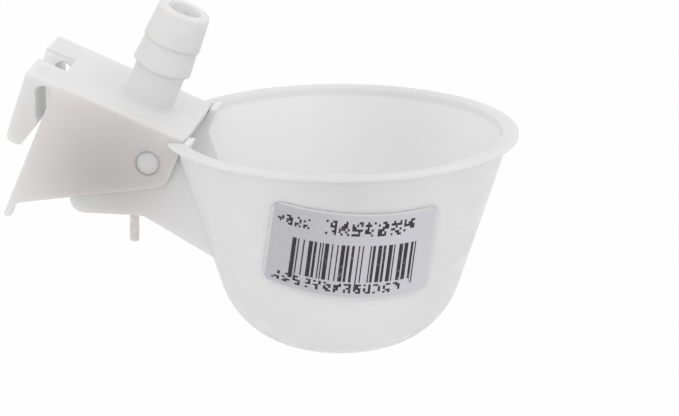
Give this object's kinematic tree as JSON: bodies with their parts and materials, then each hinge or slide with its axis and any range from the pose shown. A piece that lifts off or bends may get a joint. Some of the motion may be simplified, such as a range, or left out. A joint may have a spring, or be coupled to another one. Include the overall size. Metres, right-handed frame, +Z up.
{
  "type": "poultry drinking cup",
  "caption": "Weight-operated drinking cup for cage birds: a translucent bowl on a swinging arm, in a white bracket with two cage hooks and a barbed hose spigot.",
  "frame": {"origin": "middle of the cage wire in its seat under the hooks", "axes": "+X from the cage to the bowl, +Z up along the hose spigot, Y = 0 the middle plane"},
  "size_m": [0.0823, 0.0618, 0.0498],
  "materials": {
    "white_plastic": "satin, as moulded",
    "clear_plastic": "natural translucent, satin",
    "stopper_rubber": "natural silicone, matte",
    "spring_steel": "drawn wire",
    "sticker": "silver-grey film, satin"
  },
  "bodies": {
    "bracket": {"bracket": "white_plastic", "spring": "spring_steel"},
    "bowl": {"bowl": "clear_plastic", "stopper": "stopper_rubber", "label": "sticker"}
  },
  "joints": [
    {"name": "bowl_pivot", "type": "hinge", "parent": "bracket", "child": "bowl", "pos_m": [0.0213, 0, -0.0038], "axis": [0, 1, 0], "range_deg": [0, 21.9], "stiffness_Nm_per_rad": 0.026, "springref_deg": -21.89, "deforming": ["spring"]}
  ]
}
